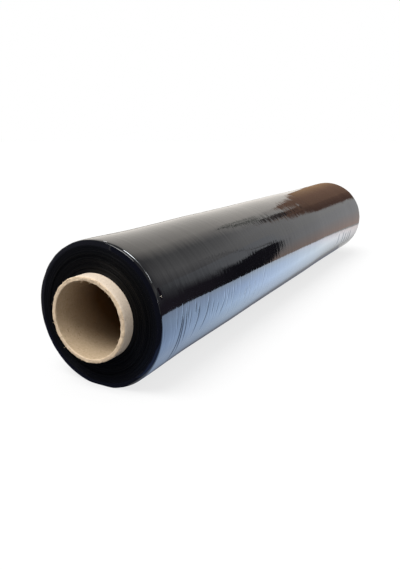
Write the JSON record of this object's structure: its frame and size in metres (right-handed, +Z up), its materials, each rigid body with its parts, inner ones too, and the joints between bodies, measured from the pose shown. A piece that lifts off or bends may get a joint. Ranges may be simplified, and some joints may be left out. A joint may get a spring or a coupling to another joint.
{
  "type": "stretch wrap roll",
  "caption": "Roll of glossy black stretch film wound on a paperboard tube that stands out at both ends, lying on its side, for wrapping pallets and parcels by hand.",
  "frame": {"origin": "on the floor, under the middle of the roll", "axes": "+Y along the roll's axis, away from the end that the picture shows, +Z up, +X to the side that the picture shows"},
  "size_m": [0.0944, 0.52, 0.0938],
  "materials": {
    "film": "gloss",
    "paperboard": "matte"
  },
  "bodies": {
    "root": {"film_roll": "film", "core_tube": "paperboard"}
  },
  "joints": []
}
